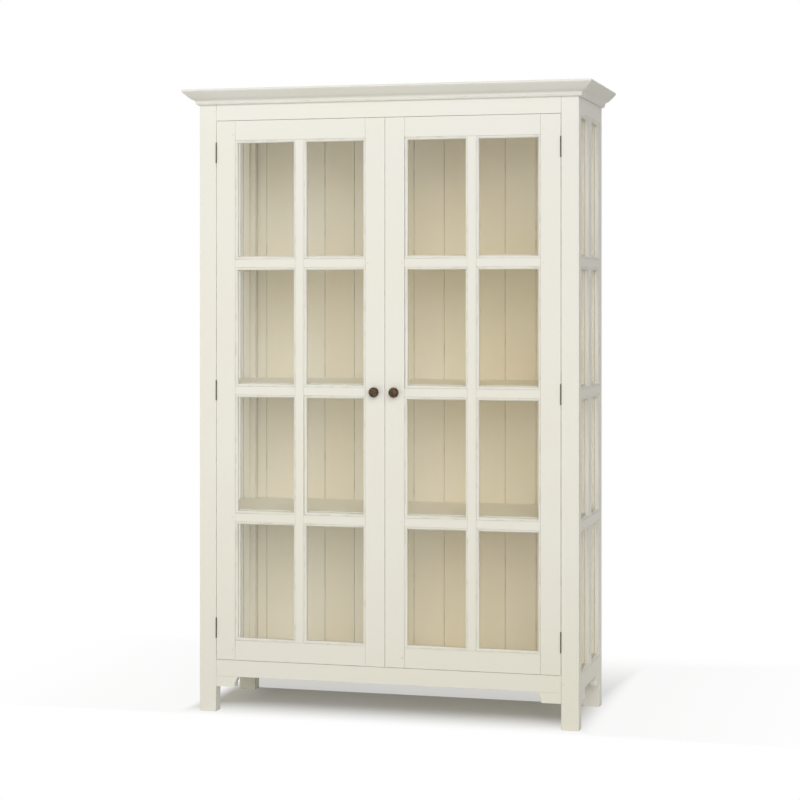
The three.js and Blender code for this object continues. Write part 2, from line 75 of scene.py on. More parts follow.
# Shader maths: a Wire is a socket that can be added, multiplied and so on
class Wire:
    def __init__(self, sheet, socket):
        self.sheet = sheet
        self.socket = socket

    def sum(self, operation, first, second):
        settings = {"operation": operation}
        return self.sheet.add("ShaderNodeMath", settings, {0: first, 1: second})

    def __add__(self, other):
        return self.sum("ADD", self, other)

    def __radd__(self, other):
        return self.sum("ADD", other, self)

    def __sub__(self, other):
        return self.sum("SUBTRACT", self, other)

    def __rsub__(self, other):
        return self.sum("SUBTRACT", other, self)

    def __mul__(self, other):
        return self.sum("MULTIPLY", self, other)

    def __rmul__(self, other):
        return self.sum("MULTIPLY", other, self)

    def most(self, other):
        return self.sum("MAXIMUM", self, other)

    def size(self):
        return self.sum("ABSOLUTE", self, 0)

    def swing(self, middle, reach):  # noise, which keeps round a half, made to keep round a middle
        return middle + (self - 0.5) * reach

    def between(self, low, high):  # 0 up to low, 1 from high on, and smooth in between
        settings = {"interpolation_type": "SMOOTHSTEP", "clamp": True}
        sockets = {"Value": self, "From Min": low, "From Max": high}
        return self.sheet.add("ShaderNodeMapRange", settings, sockets)


class Sheet:  # the nodes of one material, or of the world
    def __init__(self, owner):
        owner.use_nodes = True
        self.owner = owner
        self.tree = owner.node_tree
        self.tree.nodes.clear()

    def add(self, kind, settings, sockets, out=0):
        node = self.tree.nodes.new(kind)
        for key, value in settings.items():
            setattr(node, key, value)
        for key, value in sockets.items():
            if isinstance(value, Wire):
                self.tree.links.new(value.socket, node.inputs[key])
            else:
                node.inputs[key].default_value = value
        return Wire(self, node.outputs[out]) if node.outputs else None

    def place(self):
        return self.add("ShaderNodeTexCoord", {}, {}, "Object")

    def along(self, axis):
        return self.add("ShaderNodeSeparateXYZ", {}, {0: self.place()}, axis)

    def noise(self, scale, stretch=(1, 1, 1), detail=3, rough=0.5):
        where = self.add("ShaderNodeMapping", {}, {"Vector": self.place(), "Scale": stretch})
        sockets = {"Vector": where, "Scale": scale, "Detail": detail, "Roughness": rough}
        return self.add("ShaderNodeTexNoise", {}, sockets)

    def attribute(self, name):
        return self.add("ShaderNodeAttribute", {"attribute_name": name}, {}, "Fac")

    def blend(self, share, first, second):
        return self.add("ShaderNodeMix", {"data_type": "RGBA"}, {0: share, 6: first, 7: second}, 2)

    def bump(self, height, strength, distance):
        sockets = {"Height": height, "Strength": strength, "Distance": distance}
        return self.add("ShaderNodeBump", {}, sockets)

    def ray(self, kind):
        return self.add("ShaderNodeLightPath", {}, {}, kind)

    def seen(self):  # 1 for what the camera sees, in a mirror or through glass too
        straight = self.ray("Is Camera Ray").most(self.ray("Is Glossy Ray"))
        return straight.most(self.ray("Is Transmission Ray"))

    def mixShader(self, share, first, second):
        return self.add("ShaderNodeMixShader", {}, {0: share, 1: first, 2: second})

    def finish(self, shader):
        world = isinstance(self.owner, bpy.types.World)
        kind = "ShaderNodeOutputWorld" if world else "ShaderNodeOutputMaterial"
        self.add(kind, {}, {"Surface": shader})
        return self.owner


def tone(red, green, blue):  # a colour as it looks on screen, each part from 0 to 255
    def linear(value):  # the sRGB curve
        share = value / 255
        return share / 12.92 if share <= 0.04045 else ((share + 0.055) / 1.055) ** 2.4

    return (linear(red), linear(green), linear(blue), 1)


# Paint: satin, brushed on along the grain, with a little soiling and painted shade in the seams between
# members and on softened edges.
# It is white outside and darker and warmer lower down, which is painted shade. Inside it is cream, lighter
# and warmer, which is painted warm bounce light, and warmer still towards the right.
# A pair of numbers is where a mask starts and where it is full, and places are in metres.
paint = {
    "body": tone(240, 239, 238),
    "warm": tone(238, 236, 226),
    # Inside tones, lighter and warmer than the outside: painted warm bounce light
    "inside": tone(247, 245, 237),
    "insideWarm": tone(242, 230, 201),
    # Tones of the boards inside, lighter again: painted light on the shelf tops
    "board": tone(251, 250, 245),
    "boardWarm": tone(246, 237, 213),
    "dirtAndShade": tone(146, 128, 88),
    "doors": (-0.165, -0.150),
    "sides": (0.588, 0.5955),
    "base": (0.100, 0.125),
    "top": (1.935, 1.945),
    "rear": (0.214, 0.220),
    "shadedLow": (0.2, 1.7),
    "shadedLowShare": 0.5,
    "warmth": (-0.4, 0.35),
    "warmthShare": 0.6,
    "roughness": 0.5,
    "roughnessReach": 0.2,
    "sheen": 0.25,
    "brushScale": 240,
    "brushLength": 0.03,
    "brushDetail": 4,
    "brushRough": 0.6,
    "strokes": (0.35, 0.8),
    "strokeShare": 0.25,
    "strokeHeight": 0.7,
    "fibreScale": 720,
    "fibreDetail": 2,
    "fibreHeight": 0.3,
    "cloudScale": 2.4,
    "cloudDetail": 4,
    "clouds": (0.3, 0.7),
    "cloudShare": 0.4,
    "boardShare": 0.5,
    "seamScale": 26,
    "seamDetail": 2,
    "seamPatches": (0.45, 0.75),
    "seamDarkLeast": 0.08,
    "seamPatchShare": 0.35,
    "bump": 0.25,
    "bumpDepth": 0.0003,
}


def paintMaterial(name, grain, cream, warmth):
    sheet = Sheet(bpy.data.materials.new(name))
    stretch = [paint["brushLength"] if axis == grain else 1 for axis in "xyz"]
    strokes = sheet.noise(paint["brushScale"], stretch, paint["brushDetail"], paint["brushRough"])
    fibres = sheet.noise(paint["fibreScale"], stretch, paint["fibreDetail"])
    clouds = sheet.noise(paint["cloudScale"], detail=paint["cloudDetail"])
    seamPatches = sheet.noise(paint["seamScale"], detail=paint["seamDetail"]).between(*paint["seamPatches"])
    across, away, up = [sheet.along(axis) for axis in "XYZ"]
    # Inside the carcass the paint is cream, lighter and warmer than outside: painted warm bounce light
    within = away.between(*paint["doors"]) * (1 - away.between(*paint["rear"]))
    within = within * up.between(*paint["base"]) * (1 - up.between(*paint["top"]))
    within = within * (1 - across.size().between(*paint["sides"]))
    cloudy = clouds.between(*paint["clouds"]) * paint["cloudShare"]
    # Outside, darker and warmer towards the bottom: painted shade
    lower = (1 - up.between(*paint["shadedLow"])) * paint["shadedLowShare"]
    # Inside, warmer still towards the right
    warmthRight = across.between(*paint["warmth"]) * paint["warmthShare"]
    outside = sheet.blend(cloudy + lower, paint["body"], paint["warm"])
    inside = sheet.blend(cloudy + warmthRight, cream, warmth)
    deeper = sheet.blend(within, paint["warm"], warmth)
    colour = sheet.blend(within, outside, inside)
    colour = sheet.blend(strokes.between(*paint["strokes"]) * paint["strokeShare"], colour, deeper)
    colour = sheet.blend(sheet.attribute("board") * paint["boardShare"], colour, deeper)
    # Seams and softened edges darken, a little everywhere and more in patches: soiling and painted shade
    seamDirtAndShade = sheet.attribute("seam") * (paint["seamDarkLeast"] + seamPatches * paint["seamPatchShare"])
    colour = sheet.blend(seamDirtAndShade, colour, paint["dirtAndShade"])
    height = strokes * paint["strokeHeight"] + fibres * paint["fibreHeight"]
    shader = sheet.add("ShaderNodeBsdfPrincipled", {}, {
        "Base Color": colour,
        "Roughness": strokes.swing(paint["roughness"], paint["roughnessReach"]),
        "Specular IOR Level": paint["sheen"],
        "Normal": sheet.bump(height, paint["bump"], paint["bumpDepth"]),
    })
    return sheet.finish(shader)


uprightPaint = paintMaterial("paintUpright", "z", paint["inside"], paint["insideWarm"])
crossPaint = paintMaterial("paintAcross", "x", paint["inside"], paint["insideWarm"])
deepPaint = paintMaterial("paintDeep", "y", paint["inside"], paint["insideWarm"])
# Boards take the lighter tones: painted light on the shelf tops
boardPaint = paintMaterial("paintBoards", "x", paint["board"], paint["boardWarm"])


# Bronze: dark, with brown showing through where hands have rubbed it, and greener on the hinges
bronze = {
    "dark": tone(66, 54, 42),
    "brown": tone(126, 98, 68),
    "dull": tone(70, 64, 44),
    "olive": tone(104, 96, 64),
    "patchScale": 170,
    "patchDetail": 5,
    "patchRough": 0.6,
    "patches": (0.42, 0.72),
    "speckScale": 900,
    "speckDetail": 2,
    "metal": 0.75,
    "roughness": 0.4,
    "roughnessReach": 0.3,
    "bump": 0.2,
    "bumpDepth": 0.0001,
}


def bronzeMaterial(name, dark, light):
    sheet = Sheet(bpy.data.materials.new(name))
    patches = sheet.noise(
        bronze["patchScale"], detail=bronze["patchDetail"], rough=bronze["patchRough"],
    )
    specks = sheet.noise(bronze["speckScale"], detail=bronze["speckDetail"])
    shader = sheet.add("ShaderNodeBsdfPrincipled", {}, {
        "Base Color": sheet.blend(patches.between(*bronze["patches"]), dark, light),
        "Metallic": bronze["metal"],
        "Roughness": patches.swing(bronze["roughness"], bronze["roughnessReach"]),
        "Normal": sheet.bump(specks, bronze["bump"], bronze["bumpDepth"]),
    })
    return sheet.finish(shader)


# Zinc-plated steel, brushed upright
steel = {
    "dark": tone(176, 176, 174),
    "light": tone(200, 200, 198),
    "scale": 1200,
    "stretch": (1, 1, 0.05),
    "roughness": 0.28,
    "roughnessReach": 0.2,
    "bump": 0.1,
    "bumpDepth": 0.0001,
}


def steelMaterial():
    sheet = Sheet(bpy.data.materials.new("zincSteel"))
    rubbed = sheet.noise(steel["scale"], steel["stretch"])
    shader = sheet.add("ShaderNodeBsdfPrincipled", {}, {
        "Base Color": sheet.blend(rubbed, steel["dark"], steel["light"]),
        "Metallic": 1.0,
        "Roughness": steel["roughness"] + rubbed * steel["roughnessReach"],
        "Normal": sheet.bump(rubbed, steel["bump"], steel["bumpDepth"]),
    })
    return sheet.finish(shader)


# Plastic of the catch, moulded with a fine grain
plastic = {
    "dark": tone(226, 220, 203),
    "light": tone(234, 229, 214),
    "cloudScale": 40,
    "grainScale": 1500,
    "grainDetail": 2,
    "roughness": 0.45,
    "roughnessReach": 0.15,
    "bump": 0.2,
    "bumpDepth": 0.0001,
}


def plasticMaterial():
    sheet = Sheet(bpy.data.materials.new("catchPlastic"))
    grains = sheet.noise(plastic["grainScale"], detail=plastic["grainDetail"])
    clouds = sheet.noise(plastic["cloudScale"])
    shader = sheet.add("ShaderNodeBsdfPrincipled", {}, {
        "Base Color": sheet.blend(clouds, plastic["dark"], plastic["light"]),
        "Roughness": plastic["roughness"] + grains * plastic["roughnessReach"],
        "Normal": sheet.bump(grains, plastic["bump"], plastic["bumpDepth"]),
    })
    return sheet.finish(shader)


# Glass: lamps and soft light go straight through it, so that the shelves behind it are lit
glass = {
    "tint": (0.985, 0.985, 0.978, 1),
    "ior": 1.45,
    "rippleScale": 9,
    "rippleDetail": 2,
    "bump": 0.02,
    "bumpDepth": 0.001,
}


def glassMaterial():
    sheet = Sheet(bpy.data.materials.new("paneGlass"))
    ripple = sheet.noise(glass["rippleScale"], detail=glass["rippleDetail"])
    pane = sheet.add("ShaderNodeBsdfPrincipled", {}, {
        "Base Color": glass["tint"],
        "Roughness": 0.0,
        "IOR": glass["ior"],
        "Transmission Weight": 1.0,
        "Normal": sheet.bump(ripple, glass["bump"], glass["bumpDepth"]),
    })
    clear = sheet.add("ShaderNodeBsdfTransparent", {}, {"Color": glass["tint"]})
    passing = sheet.ray("Is Shadow Ray").most(sheet.ray("Is Diffuse Ray"))
    return sheet.finish(sheet.mixShader(passing, pane, clear))


knobBronze = bronzeMaterial("knobBronze", bronze["dark"], bronze["brown"])
hingeBronze = bronzeMaterial("hingeBronze", bronze["dull"], bronze["olive"])
zincSteel = steelMaterial()
catchPlastic = plasticMaterial()
paneGlass = glassMaterial()
print("materials made")


# Modelling: every piece starts as a mesh with two values on its faces: "seam" is 1 on softened edges,
# where the paint darkens with soiling and painted shade, and "board" is a tone of its own for each board
axes = {"x": (1, 2, 0), "y": (2, 0, 1), "z": (0, 1, 2)}
soft = {
    "edge": 0.0006,
    "fine": 0.0003,
    "sharp": radians(30),
    "merge": 0.000001,
}


def startMesh():
    bm = bmesh.new()
    bm.faces.layers.float.new("seam")
    bm.faces.layers.float.new("board")
    return bm


def soften(bm, verts, width, steps=2):
    faces = {face for vert in verts for face in vert.link_faces}
    bmesh.ops.recalc_face_normals(bm, faces=list(faces))
    edges = {edge for vert in verts for edge in vert.link_edges}
    hard = [edge for edge in edges if edge.calc_face_angle(0) > soft["sharp"]]
    made = bmesh.ops.bevel(
        bm, geom=hard, offset=width, offset_type="OFFSET", segments=steps, profile=0.5,
        affect="EDGES", material=-1, clamp_overlap=True,
    )
    seam = bm.faces.layers.float["seam"]
    for face in made["faces"]:
        face[seam] = 1
        face.smooth = True


def addBlock(bm, low, high, width=soft["edge"], steps=2, shade=0):
    low, high = Vector(low), Vector(high)
    made = bmesh.ops.create_cube(bm, size=1)
    verts = made["verts"]
    bmesh.ops.scale(bm, vec=high - low, verts=verts)
    bmesh.ops.translate(bm, vec=(low + high) / 2, verts=verts)
    layer = bm.faces.layers.float["board"]
    for face in {face for vert in verts for face in vert.link_faces}:
        face[layer] = shade
    soften(bm, verts, width, steps)


def addLoft(bm, first, second, width=0, steps=2):  # two rings of corners joined by faces
    rings = [[bm.verts.new(corner) for corner in ring] for ring in (first, second)]
    loops = []
    for ring in rings:
        bm.faces.new(ring)
        loops += [bm.edges.get((ring[i - 1], ring[i])) for i in range(len(ring))]
    for face in bmesh.ops.bridge_loops(bm, edges=loops)["faces"]:
        face.smooth = True
    if width:
        soften(bm, rings[0] + rings[1], width, steps)


def addPrism(bm, outline, axis, start, finish, width=0, steps=2):
    first, second, along = axes[axis]
    rings = []
    for level in (start, finish):
        ring = []
        for pair in outline:
            corner = [level] * 3
            corner[first], corner[second] = pair
            ring.append(corner)
        rings.append(ring)
    addLoft(bm, *rings, width, steps)


def flatten(bm):  # only the softened edges stay smooth
    seam = bm.faces.layers.float["seam"]
    for face in bm.faces:
        face.smooth = face[seam] > 0


def addTurned(bm, profile, centre, axis, steps):  # profile is (radius, along) pairs
    first, second, along = axes[axis]
    verts = []
    for radius, distance in profile:
        corner = list(centre)
        corner[first] += radius
        corner[along] += distance
        verts.append(bm.verts.new(corner))
    edges = [bm.edges.new(pair) for pair in zip(verts, verts[1:])]
    line = Vector([1 if i == along else 0 for i in range(3)])
    bmesh.ops.spin(
        bm, geom=verts + edges, cent=centre, axis=line, angle=2 * pi, steps=steps, use_merge=True,
    )
    bmesh.ops.remove_doubles(bm, verts=bm.verts, dist=soft["merge"])


def arc(centre, radius, start, finish, steps):  # angles in degrees
    turns = [radians(start + (finish - start) * i / steps) for i in range(steps + 1)]
    return [(centre[0] + radius * cos(turn), centre[1] + radius * sin(turn)) for turn in turns]


def addPiece(bm, name, body, slot, material, *stands):
    bmesh.ops.recalc_face_normals(bm, faces=bm.faces)
    mesh = bpy.data.meshes.new(name)
    bm.to_mesh(mesh)
    bm.free()
    mesh.materials.append(material)
    piece = bpy.data.objects.new(name, mesh)
    bpy.context.collection.objects.link(piece)
    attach(piece, body)
    if stands:
        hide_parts(*stands)


def addMember(name, body, material, low, high, node):
    bm = startMesh()
    addBlock(bm, low, high)
    addPiece(bm, name, body, "painted_wood", material, node)


def box(node):
    low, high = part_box(node)
    return Vector(low), Vector(high)


# Pegs: the ends of the pins that lock the joints, painted over
peg = {
    "radius": 0.0032,
    "proud": 0.0002,
    "depth": 0.001,
    "inset": 0.008,
    "rise": 0.030,
    "above": 0.019,
    "shade": 0.6,
    "steps": 16,
}


def addPegs(name, body, turn, places):  # places are (across, up) on a face that looks towards -y
    radius, proud = peg["radius"], peg["proud"]
    profile = [(0, -peg["depth"]), (radius, -peg["depth"]), (radius, 0), (radius - proud, proud), (0, proud)]
    bm = startMesh()
    for across, up in places:
        addTurned(bm, [(r, -out) for r, out in profile], (across, 0, up), "y", peg["steps"])
    # Each peg darkens like a seam, at its own share: soiling and painted shade that make its ring show
    seam = bm.faces.layers.float["seam"]
    for face in bm.faces:
        face[seam] = peg["shade"]
    bm.transform(turn)
    addPiece(bm, name + "Pegs", body, "painted_wood", uprightPaint)


# Windows: flat bars, a moulded bead round each pane, and the glass behind them
bead = {
    "width": 0.0085,
    "depth": 0.0085,
    "setback": 0.014,
    "crack": 0.0003,
    "lip": 0.0005,
    "steps": 7,
    "loose": 0.0011,
}
looseBeads = {("rightDoor", 0, 3), ("rightDoor", 0, 2), ("leftDoor", 1, 1)}  # column, row
bars = {
    "face": 0.026,
    "rows": 4,
    "columns": 2,
    "joint": 0.0003,
    "glass": 0.003,
}
stops = {
    "depth": 0.020,
}
gap = bars["joint"]


def beadProfile():  # (in from the frame, back from the face)
    outer, lip = bead["crack"], bead["lip"]
    curve = [
        (
            outer + lip + (bead["width"] - outer - lip) * sin(pi / 2 * i / bead["steps"]),
            lip / 2 + bead["depth"] * (1 - cos(pi / 2 * i / bead["steps"])),
        )
        for i in range(bead["steps"] + 1)
    ]
    return [(outer, bead["setback"]), (outer, lip * 2), *curve, (bead["width"], bead["setback"])]


def addBead(bm, left, right, low, high):
    loops = []
    for x, z, acrossX, acrossZ in [
        (left, low, 1, 1), (right, low, -1, 1), (right, high, -1, -1), (left, high, 1, -1),
    ]:
        ring = [
            bm.verts.new((x + inward * acrossX, depth, z + inward * acrossZ))
            for inward, depth in beadProfile()
        ]
        loops.append([bm.edges.new((ring[i - 1], ring[i])) for i in range(len(ring))])
    seam = bm.faces.layers.float["seam"]
    for i in range(len(loops)):
        made = bmesh.ops.bridge_loops(bm, edges=loops[i - 1] + loops[i])
        for face in made["faces"]:
            depths = [vert.co.y for vert in face.verts]
            face.smooth = max(depths) < bead["depth"] + bead["lip"]
            # The quirk faces at the bead's lip darken like a seam: soiling and painted shade in the crack
            face[seam] = 1 if bead["lip"] / 4 < min(depths) < bead["lip"] < max(depths) else 0


def paneSpans(start, finish, count):  # the clear spans between the bars, beads included
    clear = (finish - start - (count - 1) * bars["face"]) / count
    pitch = clear + bars["face"]
    return [(start + i * pitch, start + i * pitch + clear) for i in range(count)]


def addWindow(name, body, turn, run, rows, lattice, sheet):
    across = paneSpans(*run, bars["columns"])
    low, high = rows[0][0], rows[-1][1]
    bm = startMesh()
    for first, second in zip(across, across[1:]):
        start = (first[1], 0, low + gap)
        addBlock(bm, start, (second[0], bead["setback"], high - gap), soft["fine"])
    for left, right in across:
        for first, second in zip(rows, rows[1:]):
            start = (left + gap, 0, first[1])
            addBlock(bm, start, (right - gap, bead["setback"], second[0]), soft["fine"])
    bm.transform(turn)
    addPiece(bm, name + "Bars", body, "painted_wood", uprightPaint, lattice)

    bm = startMesh()
    for column, (left, right) in enumerate(across):
        for row, (bottom, top) in enumerate(rows):
            opened = bead["loose"] if (name, column, row) in looseBeads else 0
            addBead(bm, left + opened, right, bottom, top)
    bm.transform(turn)
    addPiece(bm, name + "Beads", body, "painted_wood", uprightPaint)

    bm = startMesh()
    near = bead["setback"] + gap
    start = (run[0] + gap, near, low + gap)
    addBlock(bm, start, (run[1] - gap, near + bars["glass"], high - gap), soft["fine"], 1)
    bm.transform(turn)
    addPiece(bm, name + "Glass", body, "pane_glass", paneGlass, sheet)


# Main planes of the carcass, read from the frame
front = box("front_top_rail")[0].y
back = box("rear_top_rail")[1].y
half = box("right_front_post")[1].x
innerHalf = box("right_front_post")[0].x
openingBottom = box("front_bottom_rail")[1].z
openingTop = box("front_top_rail")[0].z
toFront = Matrix.Translation((0, front, 0))
postBack = box("right_front_post")[1].y - bead["width"]
postFront = box("right_rear_post")[0].y + bead["width"]
doorRows = {
    "rail": 0.062,
    "low": box("left_door_hinge_stile")[0].z,
    "high": box("left_door_hinge_stile")[1].z,
}
rows = paneSpans(
    doorRows["low"] + doorRows["rail"], doorRows["high"] - doorRows["rail"], bars["rows"],
)


# Stops that hold the glass of a side window from inside, cut between the boards
def addStops(name, turn, run):
    near = bead["setback"] + bars["glass"] + 2 * gap
    far = near + stops["depth"]
    wide = bead["width"]
    middle = (run[0] + run[1]) / 2
    reach = bars["face"] / 2 + wide
    uprights = [(run[0], run[0] + wide), (middle - reach, middle + reach), (run[1] - wide, run[1])]
    bm = startMesh()
    for i in range(bars["rows"]):
        low = box("shelf_" + str(i))[1].z if i else openingBottom
        last = i == bars["rows"] - 1
        high, lintel = (openingTop, openingTop) if last else (box("shelf_" + str(i + 1))[0].z, rows[i][1])
        for left, right in uprights:
            addBlock(bm, (left, near, low + gap), (right, far, high - gap), soft["fine"])
        for first, second in zip(uprights, uprights[1:]):
            left, right = first[1] + gap, second[0] - gap
            addBlock(bm, (left, near, lintel - wide), (right, far, high - gap), soft["fine"])
            if i == 0:
                addBlock(bm, (left, near, low + gap), (right, far, low + wide), soft["fine"])
    bm.transform(turn)
    addPiece(bm, name + "SideStops", "carcass", "painted_wood", uprightPaint)


# Posts and side windows
post = {
    "edge": 0.0011,
}


def addSide(side, name):
    body = "carcass"
    for part, start, finish in (("Front", front, postBack), ("Rear", postFront, back)):
        node = name + "_" + part.lower() + "_post"
        top = box(node)[1].z
        left, right = sorted((side * innerHalf, side * half))
        outline = [(start, 0), (finish, 0), (finish, top), (start, top)]
        bm = startMesh()
        addPrism(bm, outline, "x", left, right, post["edge"])
        flatten(bm)
        addPiece(bm, name + part + "Post", body, "painted_wood", uprightPaint, node)
    for part, low, high in (
        ("bottom", box("front_bottom_rail")[0].z, openingBottom),
        ("top", openingTop, box(name + "_side_top_rail")[1].z),
    ):
        node = name + "_side_" + part + "_rail"
        left, right = box(node)[0].x, box(node)[1].x
        start, finish = (left, postBack + gap, low), (right, postFront - gap, high)
        addMember(name + "Side" + part.title() + "Rail", body, deepPaint, start, finish, node)
    turn = Matrix(((0, -side, 0, side * half), (side, 0, 0, 0), (0, 0, 1, 0), (0, 0, 0, 1)))
    run = sorted((side * postBack, side * postFront))
    sideRows = [(openingBottom, rows[0][1]), *rows[1:-1], (rows[-1][0], openingTop)]
    addWindow(
        name + "Side", body, turn, run, sideRows, name + "_side_muntins", name + "_side_glass",
    )
    addStops(name, turn, run)
    levels = [(box("front_bottom_rail")[0].z + openingBottom) / 2, openingTop + peg["rise"]]
    spots = [(x, z) for x in (run[0] - peg["inset"], run[1] + peg["inset"]) for z in levels]
    addPegs(name + "Side", body, turn, spots)
    spots = [(side * (innerHalf + peg["inset"]), z) for z in levels]
    addPegs(name + "Post", body, toFront, spots)


addSide(-1, "left")
addSide(1, "right")


# Rails across the front and back
def addCrossRail(name, node, material):
    low, high = box(node)
    low.x, high.x = gap - innerHalf, innerHalf - gap
    addMember(name, "carcass", material, low, high, node)


addCrossRail("frontBottomRail", "front_bottom_rail", crossPaint)
addCrossRail("frontTopRail", "front_top_rail", crossPaint)
addCrossRail("rearBottomRail", "rear_bottom_rail", crossPaint)
addCrossRail("rearTopRail", "rear_top_rail", crossPaint)


# Back: planks side by side, their long edges chamfered to a V
planks = {
    "pitch": 0.1022,
    "shift": -0.010,
    "chamfer": 0.0014,
    "crack": 0.0004,
    "shades": (0.3, 0.7, 0.45, 0.9, 0.2, 0.6, 0.35, 0.8, 0.5, 0.1, 0.75, 0.4),
}
plankCount = len(planks["shades"])


def addPlanks():
    low, high = box("back_planks")
    reach = innerHalf - gap
    joints = [planks["shift"] + i * planks["pitch"] for i in range(-plankCount, plankCount + 1)]
    edges = [-reach, *[x for x in joints if abs(x) < reach], reach]
    bm = startMesh()
    for i, (left, right) in enumerate(zip(edges, edges[1:])):
        start = (left + planks["crack"] / 2, low.y, openingBottom + gap)
        finish = (right - planks["crack"] / 2, high.y, openingTop - gap)
        addBlock(bm, start, finish, planks["chamfer"], 1, planks["shades"][i])
    addPiece(bm, "backPlanks", "carcass", "painted_wood", uprightPaint, "back_planks")


addPlanks()


# Shelves and boards, notched round the posts
board = {
    "edge": 0.0012,
    "steps": 3,
}


def addBoard(name, node):
    low, high = box(node)
    reach = innerHalf - gap
    wide = box("right_side_bottom_rail")[0].x - gap
    edge = [
        (reach, low.y), (reach, postBack + gap), (wide, postBack + gap),
        (wide, postFront - gap), (reach, postFront - gap), (reach, high.y),
    ]
    outline = edge + [(-x, y) for x, y in reversed(edge)]
    bm = startMesh()
    addPrism(bm, outline, "z", low.z, high.z, board["edge"], board["steps"])
    flatten(bm)
    addPiece(bm, name, "carcass", "painted_wood", boardPaint, node)


for shelf in ("1", "2", "3"):
    addBoard("shelf" + shelf, "shelf_" + shelf)
addBoard("bottomBoard", "bottom_board")
addMember("topBoard", "carcass", crossPaint, *box("top_board"), "top_board")
print("carcass made")


# Crown: a moulding in three lengths, mitred at the front corners
crown = {
    "out": 0.046,
    "fillet": 0.006,
    "neck": 0.0105,
    "neckRise": 0.0065,
    "cove": 0.0115,
    "sag": 0.0008,
    "round": 0.0006,
    "neckSteps": 5,
    "coveSteps": 7,
    "coveEnd": 95,
    "sweepSteps": 8,
}


def crownProfile(rise):  # (out, up) from the body's face at the crown's lower edge
    neck, turn, cove = crown["neck"], crown["neckRise"], crown["cove"]
    steps = crown["sweepSteps"]
    lower = arc((neck - turn, turn), turn, -90, 0, crown["neckSteps"])
    middle = arc((neck + cove, turn), cove, 180, crown["coveEnd"], crown["coveSteps"])
    start, finish = Vector(middle[-1]), Vector((crown["out"], rise - crown["fillet"]))
    lean = Vector((finish.y - start.y, start.x - finish.x)).normalized() * crown["sag"]
    sweep = [
        tuple(start.lerp(finish, i / steps) + lean * sin(pi * i / steps))
        for i in range(1, steps + 1)
    ]
    tops = [(crown["out"], rise), (gap, rise), (gap, 0)]
    return lower + middle + sweep + tops


def addCrown():
    bottom, top = box("front_crown")[0].z, box("front_crown")[1].z
    profile = crownProfile(top - bottom)

    def corner(side, clear):
        return [(side * (half + out - clear), front - out, bottom + up) for out, up in profile]

    bm = startMesh()
    addLoft(bm, corner(-1, gap), corner(1, gap), crown["round"])
    addPiece(bm, "frontCrown", "carcass", "painted_wood", crossPaint, "front_crown")
    for side, name in ((-1, "left"), (1, "right")):
        end = [(side * (half + out), back, bottom + up) for out, up in profile]
        bm = startMesh()
        addLoft(bm, corner(side, 0), end, crown["round"])
        addPiece(bm, name + "Crown", "carcass", "painted_wood", deepPaint, name + "_crown")


addCrown()


# Brackets under the bottom rails
bracket = {
    "top": 0.079,
    "bottom": 0.061,
    "rise": 0.0327,
    "cove": 0.014,
    "coveSteps": 9,
    "step": 0.004,
}


def bracketProfile():  # (along the rail, up) from the lower corner at the post
    waist = bracket["rise"] - bracket["cove"]
    reach = bracket["bottom"] + bracket["step"]
    curve = arc((reach + bracket["cove"], waist), bracket["cove"], 180, 90, bracket["coveSteps"])
    return [
        (gap, 0), (bracket["bottom"], 0), (bracket["bottom"], waist - bracket["step"]),
        *curve, (gap, bracket["rise"]),
    ]


def addBrackets(side, name):
    low, high = box(name + "_front_bracket")
    outline = [(low.z + up, side * (innerHalf - along)) for along, up in bracketProfile()]
    bm = startMesh()
    addPrism(bm, outline, "y", low.y, high.y, soft["edge"])
    addPiece(bm, name + "FrontBracket", "carcass", "painted_wood", crossPaint, name + "_front_bracket")
    for part, edge, direction in (("front", postBack, 1), ("rear", postFront, -1)):
        node = name + "_side_bracket_" + part
        low, high = box(node)
        outline = [(edge + direction * along, low.z + up) for along, up in bracketProfile()]
        bm = startMesh()
        addPrism(bm, outline, "x", low.x, high.x, soft["edge"])
        piece = name + "SideBracket" + part.title()
        addPiece(bm, piece, "carcass", "painted_wood", deepPaint, node)


addBrackets(-1, "left")
addBrackets(1, "right")
print("crown and brackets made")


# Doors: stiles, rails and their windows
door = {
    "stile": 0.062,
    "thickness": 0.022,
    "swell": 0.0005,
}


def addDoor(side, name):
    body = name + "_door"
    low, high = doorRows["low"], doorRows["high"]
    hinge, meeting = box(body + "_hinge_stile"), box(body + "_meeting_stile")
    outer = hinge[1].x if side > 0 else hinge[0].x
    inner = meeting[0].x if side > 0 else meeting[1].x
    rear = front + door["thickness"]
    swell = door["swell"]
    for part, node, edge, direction in (
        ("HingeStile", body + "_hinge_stile", outer, -side),
        ("MeetingStile", body + "_meeting_stile", inner, side),
    ):
        left, right = sorted((edge - direction * swell, edge + direction * door["stile"]))
        start, finish = (left, front, low - swell), (right, rear, high + swell)
        addMember(name + "Door" + part, body, uprightPaint, start, finish, node)
    run = sorted((outer - side * door["stile"], inner + side * door["stile"]))
    for part, node, bottom, top in (
        ("BottomRail", body + "_bottom_rail", low - swell, rows[0][0]),
        ("TopRail", body + "_top_rail", rows[-1][1], high + swell),
    ):
        start, finish = (run[0] + gap, front, bottom), (run[1] - gap, rear, top)
        addMember(name + "Door" + part, body, crossPaint, start, finish, node)
    addWindow(name + "Door", body, toFront, run, rows, body + "_muntins", body + "_glass")
    levels = [(first[1] + second[0]) / 2 for first, second in zip(rows, rows[1:])]
    levels += [(low + rows[0][0]) / 2, rows[-1][1] + peg["above"]]
    spots = [(x, z) for x in (run[0] - peg["inset"], run[1] + peg["inset"]) for z in levels]
    addPegs(name + "Door", body, toFront, spots)


addDoor(-1, "left")
addDoor(1, "right")
print("doors made")


